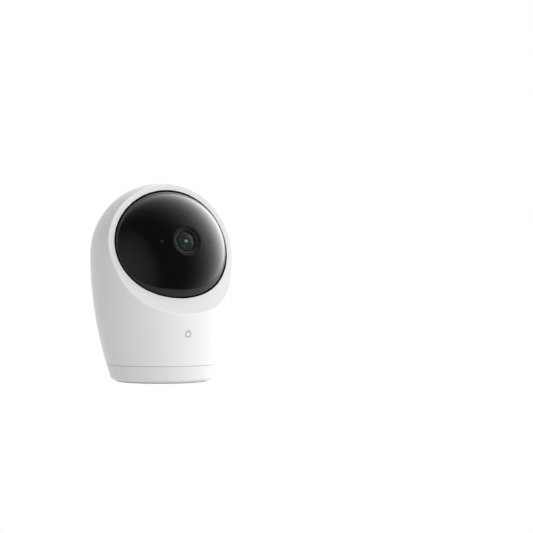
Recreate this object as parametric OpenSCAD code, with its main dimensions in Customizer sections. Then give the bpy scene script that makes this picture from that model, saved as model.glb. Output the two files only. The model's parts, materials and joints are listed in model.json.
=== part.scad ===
// Baby monitor camera: an egg-shaped body that pans on a weighted base, with a camera ball
// that tilts in a scooped opening. Millimetres. Z is up, the camera looks along -Y, and the
// origin is the centre of the foot's underside.

/* [Body] */
// Largest radius of the egg, at the height of the ball's centre
dome_r = 41; // [40.5:0.1:41.5]
// Height of the ball's centre above the table
ball_z = 73; // [72.5:0.1:73.5]
// Radius of the arc that the sides follow below the dome
flank_r = 220; // [210:1:230]
// Wall thickness of the shells
wall = 2.4; // [2.2:0.1:2.5]
// Height of the seam between the base and the turning body
seam_z = 10; // [9.9:0.1:10.1]
// Width of that seam
seam_gap = 0.4; // [0.3:0.1:0.5]
// Rounding of the base's lower edge
base_corner_r = 3; // [2:0.5:3]

/* [Opening] */
// Radius of the cylindrical scoop that opens the front for the ball
scoop_r = 118; // [117.5:0.5:118.5]
// Distance of the scoop's axis in front of the body's axis
scoop_y = 124.3; // [124:0.1:124.6]
// Height of the scoop's axis
scoop_z = 117; // [116.5:0.5:117.5]
// Radius of the steeper cylinder that ends the scoop at its foot
foot_r = 100; // [99.5:0.5:100.5]
// Distance of that cylinder's axis in front of the body's axis
foot_y = 100.1; // [100:0.1:100.4]
// Height of that cylinder's axis
foot_z = 118.8; // [118.5:0.1:119]
// Thickness of the lip
lip = 2; // [1.6:0.1:2.2]

/* [Camera ball] */
// Radius of the camera ball
ball_r = 37; // [36.8:0.1:37.1]
// Gap between the ball and the lip
ball_gap = 0.6; // [0.5:0.1:1]
// Wall thickness of the ball
ball_wall = 2; // [1.8:0.1:2.2]
// How far the lens looks up at rest, in degrees
rest_tilt = 14.3; // [0:0.1:30]
// Radius of the lens opening in the ball
lens_hole_r = 8.6; // [8.4:0.1:8.8]
// Angle between the lens and the small eyes beside it, in degrees
eye_angle = 23.4; // [22:0.2:25]

/* [Drive] */
// Tooth size of the pan gears
pan_module = 0.6; // [0.6]
// Teeth on the fixed pan gear
pan_sun_teeth = 42; // [42]
// Tooth size of the tilt gears
tilt_module = 0.5; // [0.5]
// Teeth on the fixed tilt gear
tilt_gear_teeth = 36; // [36]
// Teeth on both pinions
pinion_teeth = 14; // [14]
// Radius of the base's hollow spindle
spindle_r = 6; // [5.8:0.1:6.2]

/* [Mount] */
// Radius of the tripod thread's bore (1/4"-20, tapping size)
tripod_bore_r = 2.55; // [2.55]
// Depth of the tripod thread
tripod_depth = 5.2; // [5:0.1:5.4]

/* [Hidden] */
$fn = 64;
fine = 180;
eps = 0.05;

flank_x = dome_r - flank_r;
top_z = ball_z + dome_r;
base_z0 = 0.8;
base_z1 = seam_z - seam_gap / 2;
body_z0 = seam_z + seam_gap / 2;
base_in_r = 27.2;
insert_r = 4.15;
insert_z0 = 0.5;
deck_z = 8;
plate_top = 3;
boss_top = 6.6;
spindle_top = 20.4;
spindle_bore_r = 4.2;
split_y = 18;

// The pan gears lie between the deck and the chassis.
sun_z0 = 10.2;
sun_z1 = 13.2;
chassis_z0 = 14;
chassis_z1 = 16;
mesh_slack = 0.08;
pan_distance = (pan_sun_teeth + pinion_teeth) * pan_module / 2 + mesh_slack;
pan_motor_angle = 45;
motor_r = 7.5;
motor_len = 12;
motor_offset = 2.4;

// The stops meet after 168 degrees each way.
stop_r0 = 22.6;
stop_r1 = 25.4;
stop_half_angle = 6;

// The tilt pivots stand on the X axis through the ball's centre.
pivot_r = 2.5;
running_gap = 0.05;
flat_x = 34.5;
arm_x0 = 34.9;
arm_x1 = 36.8;
arm_half_w = 5;
arm_bend_z = 50;
arm_foot_x = 30.2;
arm_foot_z = 17.6;
tilt_distance = (tilt_gear_teeth + pinion_teeth) * tilt_module / 2 + mesh_slack;
tilt_gear_x0 = -30;
tilt_gear_x1 = -27.6;

// Light and small holes of the body
light_z = 28.7;
light_r = 1.9;
light_line = 0.5;
mic_hole_z = light_z + 2.55;
mic_hole_r = 0.3;
mic_z = mic_hole_z + 1.4;
speaker_z = 31;
speaker_r = 11;
button_angle = 26;
button_z = 5.8;
button_r = 1.9;
socket_z = 6;
screw_r = 1;
screw_clear = 0.05;
base_screw_angles = [30, 150, 225, 315];
base_screw_at = 24.2;
shell_screw_angles = [65, 115, 215, 325];
shell_screw_at = 27.6;
ball_screw_at = [22, 20];
glass_r = 5.7;
bezel_r = 10.2;
eye_r = 1.1;

white = [0.93, 0.93, 0.93];
black = [0.03, 0.03, 0.035];
dark_grey = [0.2, 0.2, 0.21];
board_green = [0.05, 0.3, 0.16];
steel = [0.7, 0.71, 0.73];

// ---- small helpers ----

module xcyl(r, x0, x1)
    translate([x0, 0, 0]) rotate([0, 90, 0]) cylinder(r = r, h = x1 - x0);

module ycyl(r, y0, y1)
    translate([0, y1, 0]) rotate([90, 0, 0]) cylinder(r = r, h = y1 - y0);

module zcyl(r, z0, z1)
    translate([0, 0, z0]) cylinder(r = r, h = z1 - z0);

module zring(r0, r1, z0, z1)
    difference() {
        zcyl(r1, z0, z1);
        zcyl(r0, z0 - 1, z1 + 1);
    }

module block(x0, x1, y0, y1, z0, z1)
    translate([x0, y0, z0]) cube([x1 - x0, y1 - y0, z1 - z0]);

module around(angle, distance)
    rotate([0, 0, angle]) translate([distance, 0, 0]) children();

module arc_block(r0, r1, z0, z1, middle, half)
    rotate([0, 0, middle - half])
        rotate_extrude(angle = 2 * half)
            translate([r0, z0]) square([r1 - r0, z1 - z0]);

// Puts its children in the ball's own frame, where the lens looks along -Y.
module in_ball()
    translate([0, 0, ball_z]) rotate([-rest_tilt, 0, 0]) children();

// A point on the ball's front, beside the lens.
module at_eye(side)
    rotate([0, 0, side * eye_angle]) children();

// ---- gears ----

function involute(r, base_r) = tan(acos(base_r / r)) * 180 / PI - acos(base_r / r);

// Half the angle that a tooth takes at radius r
function tooth_half(r, teeth, pitch_r, base_r) =
    90 / teeth - 2.2 / pitch_r + involute(pitch_r, base_r) - involute(max(r, base_r), base_r);

function polar(r, a) = [r * cos(a), r * sin(a)];

module gear_outline(teeth, size) {
    pitch_r = teeth * size / 2;
    base_r = pitch_r * cos(20);
    root_r = pitch_r - 1.05 * size;
    tip_r = pitch_r + 0.8 * size;
    side = [root_r, pitch_r - 0.25 * size, pitch_r + 0.3 * size, tip_r];
    polygon([
        for (i = [0 : teeth - 1], s = [-1, 1], k = [0 : 3])
            let (r = side[s < 0 ? k : 3 - k])
            polar(r, i * 360 / teeth + s * tooth_half(r, teeth, pitch_r, base_r))
    ]);
}

// ---- outlines of the egg ----

module egg_outline(inset)
    intersection() {
        square([dome_r + 1, top_z + 1]);
        union() {
            intersection() {
                translate([0, ball_z]) circle(r = dome_r - inset, $fn = fine);
                translate([0, ball_z]) square(dome_r + 1);
            }
            intersection() {
                translate([flank_x, ball_z]) circle(r = flank_r - inset, $fn = 4 * fine);
                square([dome_r + 1, ball_z]);
            }
        }
    }

module egg(inset, z0)
    rotate_extrude($fn = fine)
        intersection() {
            egg_outline(inset);
            translate([0, z0]) square([dome_r + 1, top_z]);
        }

// The base's outline ends in a rounded lower edge that runs into the flank.
module base_outline() {
    centre_z = base_z0 + base_corner_r;
    reach = flank_r - base_corner_r;
    centre_x = flank_x + sqrt(reach * reach - pow(ball_z - centre_z, 2));
    touch_z = centre_z - base_corner_r * (ball_z - centre_z) / reach;
    intersection() {
        egg_outline(0);
        union() {
            translate([0, touch_z]) square([dome_r, base_z1 - touch_z]);
            translate([0, base_z0]) square([centre_x, base_z1 - base_z0]);
            translate([centre_x, centre_z]) circle(r = base_corner_r);
        }
        square([dome_r, base_z1]);
    }
}

// What both cylinders share. Its surface is pushed back by grow.
module scoop(grow)
    intersection() {
        scoop_cylinder(scoop_y, scoop_z, scoop_r + grow);
        scoop_cylinder(foot_y, foot_z, foot_r + grow);
    }

module scoop_cylinder(y, z, r)
    translate([0, -y, z]) rotate([0, 90, 0])
        cylinder(r = r, h = 4 * dome_r, center = true, $fn = 2 * fine);

// ---- base ----

module socket_recess(grow, y0) {
    half_w = 6;
    block(-half_w - grow, half_w + grow, y0, 40, 3.5 - grow, deck_z + grow / 4);
}

module button_place(side)
    rotate([0, 0, side * button_angle]) translate([0, 0, button_z]) children();

module base_shell() {
    stop_top = 12.6;
    groove = [19.4, 20];
    color(white)
    difference() {
        union() {
            difference() {
                rotate_extrude($fn = fine) base_outline();
                zcyl(base_in_r, -1, deck_z);
            }
            intersection() {
                zcyl(base_in_r + 0.4, plate_top, deck_z + 0.2);
                socket_recess(1, 24.5);
            }
            zcyl(spindle_r, deck_z, spindle_top);
            zcyl(11, deck_z, sun_z0);
            arc_block(stop_r0, stop_r1, deck_z + 1, stop_top, 90, stop_half_angle);
            for (a = base_screw_angles)
                around(a, base_screw_at) zcyl(2.4, plate_top, deck_z + 0.5);
        }
        zcyl(spindle_bore_r, deck_z - 1, spindle_top + 1);
        zring(spindle_r - 0.6, spindle_r + 1, groove[0], groove[1]);
        socket_recess(0, 24);
        for (a = base_screw_angles)
            around(a, base_screw_at) zcyl(screw_r + screw_clear, plate_top - 1, 7);
        for (side = [-1, 1])
            button_place(side) ycyl(button_r + 0.1, 26, 40);
    }
}

module base_plate() {
    groove = [19.8, 26.2, 1.4];
    head_r = 1.9;
    color(white)
    difference() {
        union() {
            zcyl(base_in_r - 0.1, base_z0, plate_top);
            zcyl(6.6, base_z0, boss_top);
        }
        zring(groove[0], groove[1], 0, groove[2]);
        zcyl(insert_r + eps, 0, insert_z0 + tripod_depth + eps);
        for (a = base_screw_angles)
            around(a, base_screw_at) {
                zcyl(head_r + screw_clear, 0, 2.45);
                zcyl(screw_r + screw_clear, 2, plate_top + 1);
            }
    }
}

module foot_pad()
    color(dark_grey)
    rotate_extrude($fn = fine)
        union() {
            translate([20, 0.4]) square([6, 1]);
            translate([20.4, 0]) square([5.2, 0.6]);
            for (x = [20.4, 25.6])
                translate([x, 0.4]) circle(r = 0.4, $fn = 32);
        }

module tripod_insert()
    color([0.8, 0.62, 0.3])
    zring(tripod_bore_r, insert_r, insert_z0, insert_z0 + tripod_depth);

module ballast_weight()
    color(steel)
    difference() {
        zring(7.2, 21, plate_top + 0.1, 7);
        block(-30, 30, 5.6, 30, 0, 10);
    }

module base_board() {
    z0 = 3.55;
    color(board_green)
    difference() {
        intersection() {
            zcyl(24.3, z0, z0 + 0.8);
            block(-17, 17, 7.6, 30, 0, 10);
        }
        zcyl(7.8, 0, 10);
    }
}

module power_socket() {
    half_w = 4.47;
    half_h = 1.6;
    mouth = [4.17, 1.28];
    y0 = 19.2;
    y1 = 26.5;
    color(steel)
    translate([0, 0, socket_z])
    difference() {
        union() {
            block(half_h - half_w, half_w - half_h, y0, y1, -half_h, half_h);
            for (s = [-1, 1])
                translate([s * (half_w - half_h), 0, 0]) ycyl(half_h, y0, y1);
        }
        difference() {
            union() {
                block(mouth[1] - mouth[0], mouth[0] - mouth[1], 20.2, 30, -mouth[1], mouth[1]);
                for (s = [-1, 1])
                    translate([s * (mouth[0] - mouth[1]), 0, 0]) ycyl(mouth[1], 20.2, 30);
            }
            block(-3.34, 3.34, 20, 25.9, -0.35, 0.35);
        }
    }
}

module button_switches()
    color([0.1, 0.1, 0.1])
    for (side = [-1, 1])
        button_place(side) {
            block(-2.25, 2.25, 20.6, 23.8, -1.4, 1.5);
            ycyl(0.8, 23.5, 24.2);
        }

module base_connector()
    color(white)
    difference() {
        block(-16, -10, 8, 12, 4.4, 7.2);
        block(-15.3, -10.7, 7, 11, 5, 6.6);
    }

module push_button()
    union() {
        ycyl(button_r, 26.5, 30.7);
        ycyl(button_r - 0.3, 30.5, 31);
        block(-3, 3, 25.9, 26.9, -2, 2);
        ycyl(1.1, 24.9, 26);
    }

module power_button() color(white) button_place(-1) push_button();

module pair_button() color(white) button_place(1) push_button();

// A pan-head screw that stands on its head at z0, with its shank upwards
module screw(z0, length, head_r, head_h)
    difference() {
        union() {
            zcyl(head_r, z0, z0 + head_h);
            zcyl(screw_r, z0 + head_h / 2, z0 + head_h + length);
        }
        for (a = [0, 90])
            rotate([0, 0, a]) block(-head_r * 0.6, head_r * 0.6, -0.2, 0.2, z0 - 1, z0 + head_h / 2);
    }

module base_screws()
    color(steel)
    for (a = base_screw_angles)
        around(a, base_screw_at) screw(1.45, 4.2, 1.85, 0.95);

module pan_sun_gear()
    color(white)
    difference() {
        translate([0, 0, sun_z0]) rotate([0, 0, pan_motor_angle])
            linear_extrude(sun_z1 - sun_z0) gear_outline(pan_sun_teeth, pan_module);
        zcyl(spindle_r, sun_z0 - 1, sun_z1 + 1);
    }

module thrust_washer()
    color([0.85, 0.85, 0.8])
    zring(spindle_r, 10, sun_z1, chassis_z0 - eps);

module retaining_clip()
    color(steel)
    difference() {
        zring(spindle_r - 0.55, 8.2, 19.42, 19.98);
        block(-2.5, 2.5, 0, 10, 19, 21);
    }

// ---- turning body ----

// The egg's skin and the lip around the scooped opening
module body_skin()
    difference() {
        egg(0, body_z0);
        scoop(0);
        translate([0, 0, ball_z]) sphere(r = ball_r + ball_gap, $fn = fine);
        difference() {
            egg(wall, 0);
            scoop(lip);
        }
    }

module shell_boss(angle)
    intersection() {
        egg(wall / 2, chassis_z1);
        difference() {
            around(angle, shell_screw_at)
                union() {
                    zcyl(2.4, chassis_z1, 24);
                    block(0, 10, -1, 1, chassis_z1, 24);
                }
            around(angle, shell_screw_at) zcyl(screw_r + screw_clear, 0, 22);
        }
    }

module front_shell()
    color(white)
    difference() {
        union() {
            intersection() {
                body_skin();
                block(-50, 50, -50, split_y - eps, 0, 130);
            }
            shell_boss(shell_screw_angles[2]);
            shell_boss(shell_screw_angles[3]);
        }
        translate([0, 0, light_z]) ycyl(light_r + screw_clear, -50, -25);
        translate([0, 0, mic_hole_z]) ycyl(mic_hole_r, -50, -25);
    }

module rear_cover() {
    hole_r = 0.6;
    spacing = 2.3;
    color(white)
    difference() {
        union() {
            intersection() {
                difference() {
                    egg(0, body_z0);
                    egg(wall, 0);
                }
                block(-50, 50, split_y, 50, 0, 130);
            }
            shell_boss(shell_screw_angles[0]);
            shell_boss(shell_screw_angles[1]);
        }
        for (ring = [0 : 3], k = [0 : max(6 * ring, 1) - 1])
            translate([ring * spacing * cos(k * 60 / max(ring, 1)), 0,
                       speaker_z + ring * spacing * sin(k * 60 / max(ring, 1))])
                ycyl(hole_r, split_y + 5, 50, $fn = 16);
    }
}

module chassis() {
    plate_r = 30.1;
    color(dark_grey)
    difference() {
        union() {
            zcyl(plate_r, chassis_z0, chassis_z1);
            zcyl(9, chassis_z0, 19.3);
            arc_block(stop_r0, stop_r1, 10.6, chassis_z0 + 1, 270, stop_half_angle);
        }
        zcyl(spindle_r + running_gap, 0, 30);
        around(pan_motor_angle, pan_distance) zcyl(2.2, 0, 30);
        for (side = [-1, 1])
            rotate([0, 0, pan_motor_angle])
                translate([pan_distance + motor_offset, side * 10.4, 0])
                    zcyl(screw_r + screw_clear, 0, 30);
        for (a = shell_screw_angles)
            around(a, shell_screw_at) zcyl(screw_r + screw_clear, 0, 30);
    }
}

// One arm of the yoke, on the +X side, without its pivot hole
module arm_blank() {
    bend = arm_x1 - arm_x0;
    intersection() {
        rotate([90, 0, 0])
            linear_extrude(2 * arm_half_w, center = true)
                polygon([
                    [arm_x1, ball_z + 5], [arm_x1, arm_bend_z], [arm_foot_x, chassis_z1],
                    [arm_foot_x - 4, chassis_z1], [arm_foot_x - 4, arm_foot_z],
                    [arm_foot_x - bend, arm_foot_z], [arm_x0, arm_bend_z], [arm_x0, ball_z + 5]
                ]);
        union() {
            block(0, 50, -10, 10, 0, ball_z);
            translate([0, 0, ball_z]) xcyl(arm_half_w, 0, 50);
        }
    }
}

module left_arm()
    color(dark_grey)
    difference() {
        mirror([1, 0, 0]) arm_blank();
        translate([0, 0, ball_z]) xcyl(pivot_r, -50, 0);
    }

module right_arm()
    color(dark_grey)
    difference() {
        arm_blank();
        translate([0, 0, ball_z]) xcyl(3.6, 0, 50);
    }

module pivot_stub()
    color(steel)
    translate([0, 0, ball_z])
        xcyl(pivot_r, -arm_x1, -26.6);

module tilt_fixed_gear()
    color(white)
    in_ball()
        difference() {
            translate([tilt_gear_x0, 0, 0]) rotate([90, 0, 90])
                linear_extrude(tilt_gear_x1 - tilt_gear_x0)
                    gear_outline(tilt_gear_teeth, tilt_module);
            xcyl(pivot_r, -40, 0);
        }

module arm_bush()
    color([0.75, 0.6, 0.35])
    translate([0, 0, ball_z])
        difference() {
            xcyl(3.6, arm_x0, arm_x1);
            xcyl(pivot_r + running_gap, 0, 50);
        }

module pan_motor()
    color(steel)
    rotate([0, 0, pan_motor_angle])
        difference() {
            union() {
                translate([pan_distance + motor_offset, 0, 0]) {
                    zcyl(motor_r, chassis_z1, chassis_z1 + motor_len);
                    block(-2.6, 2.6, -12.8, 12.8, chassis_z1, chassis_z1 + 0.8);
                }
                translate([pan_distance, 0, 0]) zcyl(2.1, chassis_z0 + 0.2, chassis_z1 + 1);
            }
            translate([pan_distance, 0, 0]) zcyl(1 + running_gap, 0, chassis_z1 + 6);
            for (side = [-1, 1])
                translate([pan_distance + motor_offset, side * 10.4, 0])
                    zcyl(screw_r + screw_clear, 0, 30);
        }

module motor_screws()
    color(steel)
    rotate([0, 0, pan_motor_angle])
        for (side = [-1, 1])
            translate([pan_distance + motor_offset, side * 10.4, chassis_z1 + 1.9])
                mirror([0, 0, 1]) screw(0, 2.6, 1.8, 1.1);

module shell_screws()
    color(steel)
    for (a = shell_screw_angles)
        around(a, shell_screw_at) screw(chassis_z0 - 1.2, 7, 1.85, 1.2);

module main_board()
    color(board_green)
    block(-17, 17, -25.2, -24, 17.4, 41);

module radio_shield()
    color(steel)
    difference() {
        block(-16, -4.5, -24, -21.8, 26, 39);
        block(-15.7, -4.8, -24.5, -22.1, 26.3, 38.7);
    }

module heat_sink()
    color(dark_grey)
    difference() {
        block(4.5, 16, -24, -19.6, 28, 39.5);
        for (x = [6 : 2 : 14])
            block(x, x + 1, -22.8, -19, 27, 40);
    }

module board_connector()
    color(white)
    block(-3.4, 3.4, -24, -21, 23.4, 27.4);

module status_led()
    color([0.95, 0.95, 0.85])
    block(-1, 1, -26, -25.2, light_z - 0.6, light_z + 0.6);

module status_light_guide()
    color([0.55, 0.56, 0.57])
    intersection() {
        egg(0, body_z0);
        translate([0, 0, light_z])
            difference() {
                ycyl(light_r, -40, -26.4);
                ycyl(light_r - light_line, -50, -30);
            }
    }

module status_light_cap()
    color(white)
    intersection() {
        egg(0, body_z0);
        translate([0, 0, light_z]) ycyl(light_r - light_line - eps, -40, -30.2);
    }

module microphone()
    color(steel)
    translate([0, 0, mic_z]) ycyl(1.9, -33.6, -32);

module speaker()
    color(dark_grey)
    translate([0, 0, speaker_z])
        difference() {
            union() {
                ycyl(speaker_r, 28.4, 31);
                ycyl(speaker_r - 3, 26.3, 29);
            }
            translate([0, 35.8, 0]) sphere(r = 7.6);
        }

module speaker_gasket()
    color(black)
    intersection() {
        egg(wall + eps, body_z0);
        translate([0, 0, speaker_z])
            difference() {
                ycyl(speaker_r - 0.2, 31, 35);
                ycyl(speaker_r - 2, 20, 50);
            }
    }

module antenna()
    color([0.75, 0.45, 0.12])
    block(-22.5, -17.5, 21.6, 22.4, 20, 44);

// Wires from the base, up through the spindle and across to the main board
module wire_bundle() {
    bundle_r = 1.3;
    bend_r = 4;
    turn_z = 21.4;
    color(dark_grey)
    union() {
        zcyl(bundle_r, 7.1, turn_z);
        translate([0, -bend_r, turn_z]) rotate([0, 0, 90]) rotate([90, 0, 0])
            rotate_extrude(angle = 90) translate([bend_r, 0]) circle(r = bundle_r, $fn = 32);
        translate([0, 0, turn_z + bend_r]) ycyl(bundle_r, -21, -bend_r);
    }
}

// Flat ribbon down the outside of the right arm, to the hollow trunnion
module camera_ribbon() {
    near = 0.1;
    far = 0.35;
    foot_end = 22;
    slope = (arm_x1 - arm_foot_x) / (arm_bend_z - chassis_z1);
    foot_x = arm_foot_x + slope * (foot_end - chassis_z1) + 0.1;
    color([0.85, 0.85, 0.87])
    rotate([90, 0, 0])
        linear_extrude(6, center = true)
            polygon([
                [arm_x1 + near, ball_z + 3], [arm_x1 + far, ball_z + 3],
                [arm_x1 + far, arm_bend_z], [foot_x + far, foot_end],
                [foot_x + near, foot_end], [arm_x1 + near, arm_bend_z]
            ]);
}

module pan_pinion()
    color([0.75, 0.6, 0.35])
    around(pan_motor_angle, pan_distance)
        union() {
            translate([0, 0, sun_z0 + 0.3])
                rotate([0, 0, 180 / pinion_teeth])
                    linear_extrude(sun_z1 - sun_z0) gear_outline(pinion_teeth, pan_module);
            zcyl(1, sun_z0 + 0.3, chassis_z1 + 5);
        }

// ---- camera ball ----

// The ball's skin, flat where the yoke's arms stand
module ball_skin()
    difference() {
        intersection() {
            sphere(r = ball_r, $fn = fine);
            cube([2 * flat_x, 2 * ball_r + 2, 2 * ball_r + 2], center = true);
        }
        intersection() {
            sphere(r = ball_r - ball_wall, $fn = fine);
            cube([2 * (flat_x - ball_wall), 2 * ball_r, 2 * ball_r], center = true);
        }
    }

module ball_pivot_holes() {
    xcyl(4.2, -50, 0);
    xcyl(pivot_r, 0, 50);
}

module at_ball_screws()
    for (x = [-1, 1], z = [-1, 1])
        translate([x * ball_screw_at[0], 0, z * ball_screw_at[1]]) children();

module ball_front()
    color(black)
    in_ball()
        difference() {
            union() {
                intersection() {
                    ball_skin();
                    block(-50, 50, -50, -eps / 2, -50, 50);
                }
                intersection() {
                    sphere(r = ball_r - ball_wall / 2, $fn = fine);
                    at_ball_screws() ycyl(2.4, -30, -eps / 2);
                }
            }
            ball_pivot_holes();
            at_ball_screws() ycyl(screw_r + screw_clear, -10, 1);
            ycyl(lens_hole_r, -50, -20);
            for (side = [-1, 1])
                at_eye(side) ycyl(eye_r, -50, -20);
        }

module bracket_post_places()
    for (z = [-1, 1])
        translate([0, 13, z * 11]) children();

module ball_rear()
    color(dark_grey)
    in_ball()
        difference() {
            union() {
                intersection() {
                    ball_skin();
                    block(-50, 50, eps / 2, 50, -50, 50);
                }
                intersection() {
                    sphere(r = ball_r - ball_wall / 2, $fn = fine);
                    union() {
                        at_ball_screws() ycyl(2.9, eps / 2, 30);
                        bracket_post_places() xcyl(1.7, -34, -27.3);
                    }
                }
            }
            ball_pivot_holes();
            at_ball_screws() {
                ycyl(screw_r + screw_clear, -1, 10);
                ycyl(2, 6, 50);
            }
        }

module ball_bush()
    color([0.75, 0.6, 0.35])
    in_ball()
        difference() {
            xcyl(4.2, -arm_x0 + 0.2, -31.4);
            xcyl(pivot_r + running_gap, -50, 0);
        }

module tilt_trunnion()
    color(steel)
    in_ball()
        difference() {
            union() {
                xcyl(pivot_r, 31, arm_x1 - 0.1);
                xcyl(5, 31, flat_x - ball_wall);
            }
            xcyl(1.6, 0, 50);
        }

module ball_screws()
    color(steel)
    in_ball()
        at_ball_screws()
            rotate([90, 0, 0]) screw(-7.2, 13.5, 1.8, 1.2);

module motor_bracket()
    color(dark_grey)
    in_ball()
        difference() {
            intersection() {
                sphere(r = ball_r - ball_wall - 0.3, $fn = fine);
                block(-27.3, -26.3, -6, 22, -13, 13);
            }
            xcyl(3, -50, 0);
            translate([0, tilt_distance, 0]) xcyl(1.4, -50, 0);
        }

module tilt_motor()
    color(steel)
    in_ball()
        difference() {
            translate([0, tilt_distance + 1.5, 0]) xcyl(motor_r, -26.3, -26.3 + motor_len);
            translate([0, tilt_distance, 0]) xcyl(0.9 + running_gap, -40, -20);
        }

module tilt_pinion()
    color([0.75, 0.6, 0.35])
    in_ball()
        translate([0, tilt_distance, 0])
            union() {
                translate([tilt_gear_x0 + 0.2, 0, 0]) rotate([90, 0, 90])
                    rotate([0, 0, 180 / pinion_teeth])
                        linear_extrude(tilt_gear_x1 - tilt_gear_x0 - 0.3)
                            gear_outline(pinion_teeth, tilt_module);
                xcyl(0.9, tilt_gear_x0 + 0.2, -21);
            }

// Stepped ring around the glass. Its outline gives radius and distance in front of the ball's centre.
module lens_bezel()
    color(black)
    in_ball()
        rotate([90, 0, 0])
            rotate_extrude($fn = fine)
                polygon([
                    [lens_hole_r - 0.1, 35.9],
                    [7.9, 36.1],
                    [7.3, 35.7],
                    [7.1, 35.7],
                    [glass_r + eps, 34.9],
                    [glass_r + eps, 32.5],
                    [bezel_r, 32.5],
                    [bezel_r, 33.3],
                    [lens_hole_r - 0.1, 33.3]
                ]);

module lens_glass()
    color([0.1, 0.12, 0.16])
    in_ball()
        intersection() {
            ycyl(glass_r, -36, -33.4);
            translate([0, -23.6, 0]) sphere(r = 12, $fn = fine);
        }

module lens_barrel()
    color(black)
    in_ball()
        difference() {
            union() {
                ycyl(5.6, -33.3, -28);
                ycyl(5, -29, -18);
            }
            ycyl(4, -40, -10);
        }

module iris_ring()
    color(black)
    in_ball()
        difference() {
            ycyl(3.95, -31.4, -30.8);
            ycyl(1.4, -40, -20);
        }

module inner_lens()
    color([0.2, 0.3, 0.4])
    in_ball()
        intersection() {
            ycyl(3.95, -30, -26);
            translate([0, -23, 0]) sphere(r = 6.6);
        }

module lens_holder()
    color(dark_grey)
    in_ball()
        difference() {
            block(-8, 8, -20, -14, -8, 8);
            ycyl(5 + eps, -30, -18);
            block(-6, 6, -18.1, -10, -5, 5);
        }

module image_sensor()
    color([0.25, 0.28, 0.35])
    in_ball() block(-4, 4, -15, -14, -3.2, 3.2);

module sensor_board()
    color(board_green)
    in_ball() block(-13, 13, -14, -12.8, -11, 11);

module infrared_board()
    color(board_green)
    in_ball()
        difference() {
            block(-19, 19, -27.5, -26.5, -8.5, 8.5);
            ycyl(6, -40, -20);
        }

// A small domed eye that fills its hole in the ball
module eye()
    intersection() {
        union() {
            ycyl(1.7, -34.8, -31.8);
            ycyl(eye_r - eps, -38, -34);
        }
        sphere(r = ball_r, $fn = fine);
    }

module infrared_led() color([0.75, 0.75, 0.8]) in_ball() at_eye(-1) eye();

module light_sensor() color(black) in_ball() at_eye(1) eye();

base_shell();
base_plate();
foot_pad();
tripod_insert();
ballast_weight();
base_board();
power_socket();
button_switches();
base_connector();
base_screws();
pan_sun_gear();
thrust_washer();
retaining_clip();
power_button();
pair_button();
front_shell();
rear_cover();
chassis();
left_arm();
right_arm();
pivot_stub();
tilt_fixed_gear();
arm_bush();
pan_motor();
motor_screws();
shell_screws();
main_board();
radio_shield();
heat_sink();
board_connector();
status_led();
status_light_guide();
status_light_cap();
microphone();
speaker();
speaker_gasket();
antenna();
wire_bundle();
camera_ribbon();
pan_pinion();
ball_front();
ball_rear();
ball_bush();
tilt_trunnion();
ball_screws();
motor_bracket();
tilt_motor();
lens_bezel();
lens_glass();
lens_barrel();
iris_ring();
inner_lens();
lens_holder();
image_sensor();
sensor_board();
infrared_board();
infrared_led();
light_sensor();
tilt_pinion();
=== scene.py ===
import json
import math
import bmesh
import bpy
import numpy as np
from mathutils import Matrix, Vector


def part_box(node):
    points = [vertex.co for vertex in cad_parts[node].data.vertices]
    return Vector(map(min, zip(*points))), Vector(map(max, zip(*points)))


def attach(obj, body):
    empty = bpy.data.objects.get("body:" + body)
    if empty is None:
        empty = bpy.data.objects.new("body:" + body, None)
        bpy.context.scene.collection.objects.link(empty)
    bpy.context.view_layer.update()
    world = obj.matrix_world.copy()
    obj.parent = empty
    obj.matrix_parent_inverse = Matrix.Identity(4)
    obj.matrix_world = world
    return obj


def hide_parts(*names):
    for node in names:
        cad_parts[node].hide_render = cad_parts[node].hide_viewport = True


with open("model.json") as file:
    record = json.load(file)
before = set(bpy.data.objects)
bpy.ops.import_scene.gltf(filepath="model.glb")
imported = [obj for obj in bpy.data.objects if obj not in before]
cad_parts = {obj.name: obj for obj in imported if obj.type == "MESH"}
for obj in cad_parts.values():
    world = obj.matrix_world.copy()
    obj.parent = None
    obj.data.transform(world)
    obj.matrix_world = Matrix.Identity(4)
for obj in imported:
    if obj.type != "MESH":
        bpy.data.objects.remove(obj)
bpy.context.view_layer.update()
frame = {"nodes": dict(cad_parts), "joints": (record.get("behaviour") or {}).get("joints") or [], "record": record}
print("frame loaded:", len(frame["nodes"]), "nodes")

mm = 0.001
upright = Matrix.Identity(4)
tiltJoint = next(j for j in frame["joints"] if j["name"] == "tilt")
centre = Vector(tiltJoint["pos_m"])  # middle of the camera ball
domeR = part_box("front_shell")[1].z - centre.z
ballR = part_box("ball_rear")[1].y
lensCentre = sum(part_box("lens_bezel"), Vector()) / 2 - centre
restTilt = math.atan2(lensCentre.z, -lensCentre.y)
# In the ball's own frame the lens looks along -Y.
ballTurn = Matrix.Translation(centre) @ Matrix.Rotation(-restTilt, 4, "X")

# Node groups and materials

def groupNodes(name, inputs, outputs):
    tree = bpy.data.node_groups.new(name, "ShaderNodeTree")
    for label, kind, value in inputs:
        socket = tree.interface.new_socket(name=label, in_out="INPUT", socket_type=kind)
        socket.default_value = value
    for label, kind in outputs:
        tree.interface.new_socket(name=label, in_out="OUTPUT", socket_type=kind)
    return tree, tree.nodes.new("NodeGroupInput"), tree.nodes.new("NodeGroupOutput")


def addNode(tree, kind, links=None, **settings):
    node = tree.nodes.new(kind)
    for key, value in settings.items():
        if key.startswith("in_"):
            node.inputs[int(key[3:])].default_value = value
        else:
            setattr(node, key, value)
    for index, source in (links or {}).items():
        tree.links.new(source, node.inputs[index])
    return node


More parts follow.
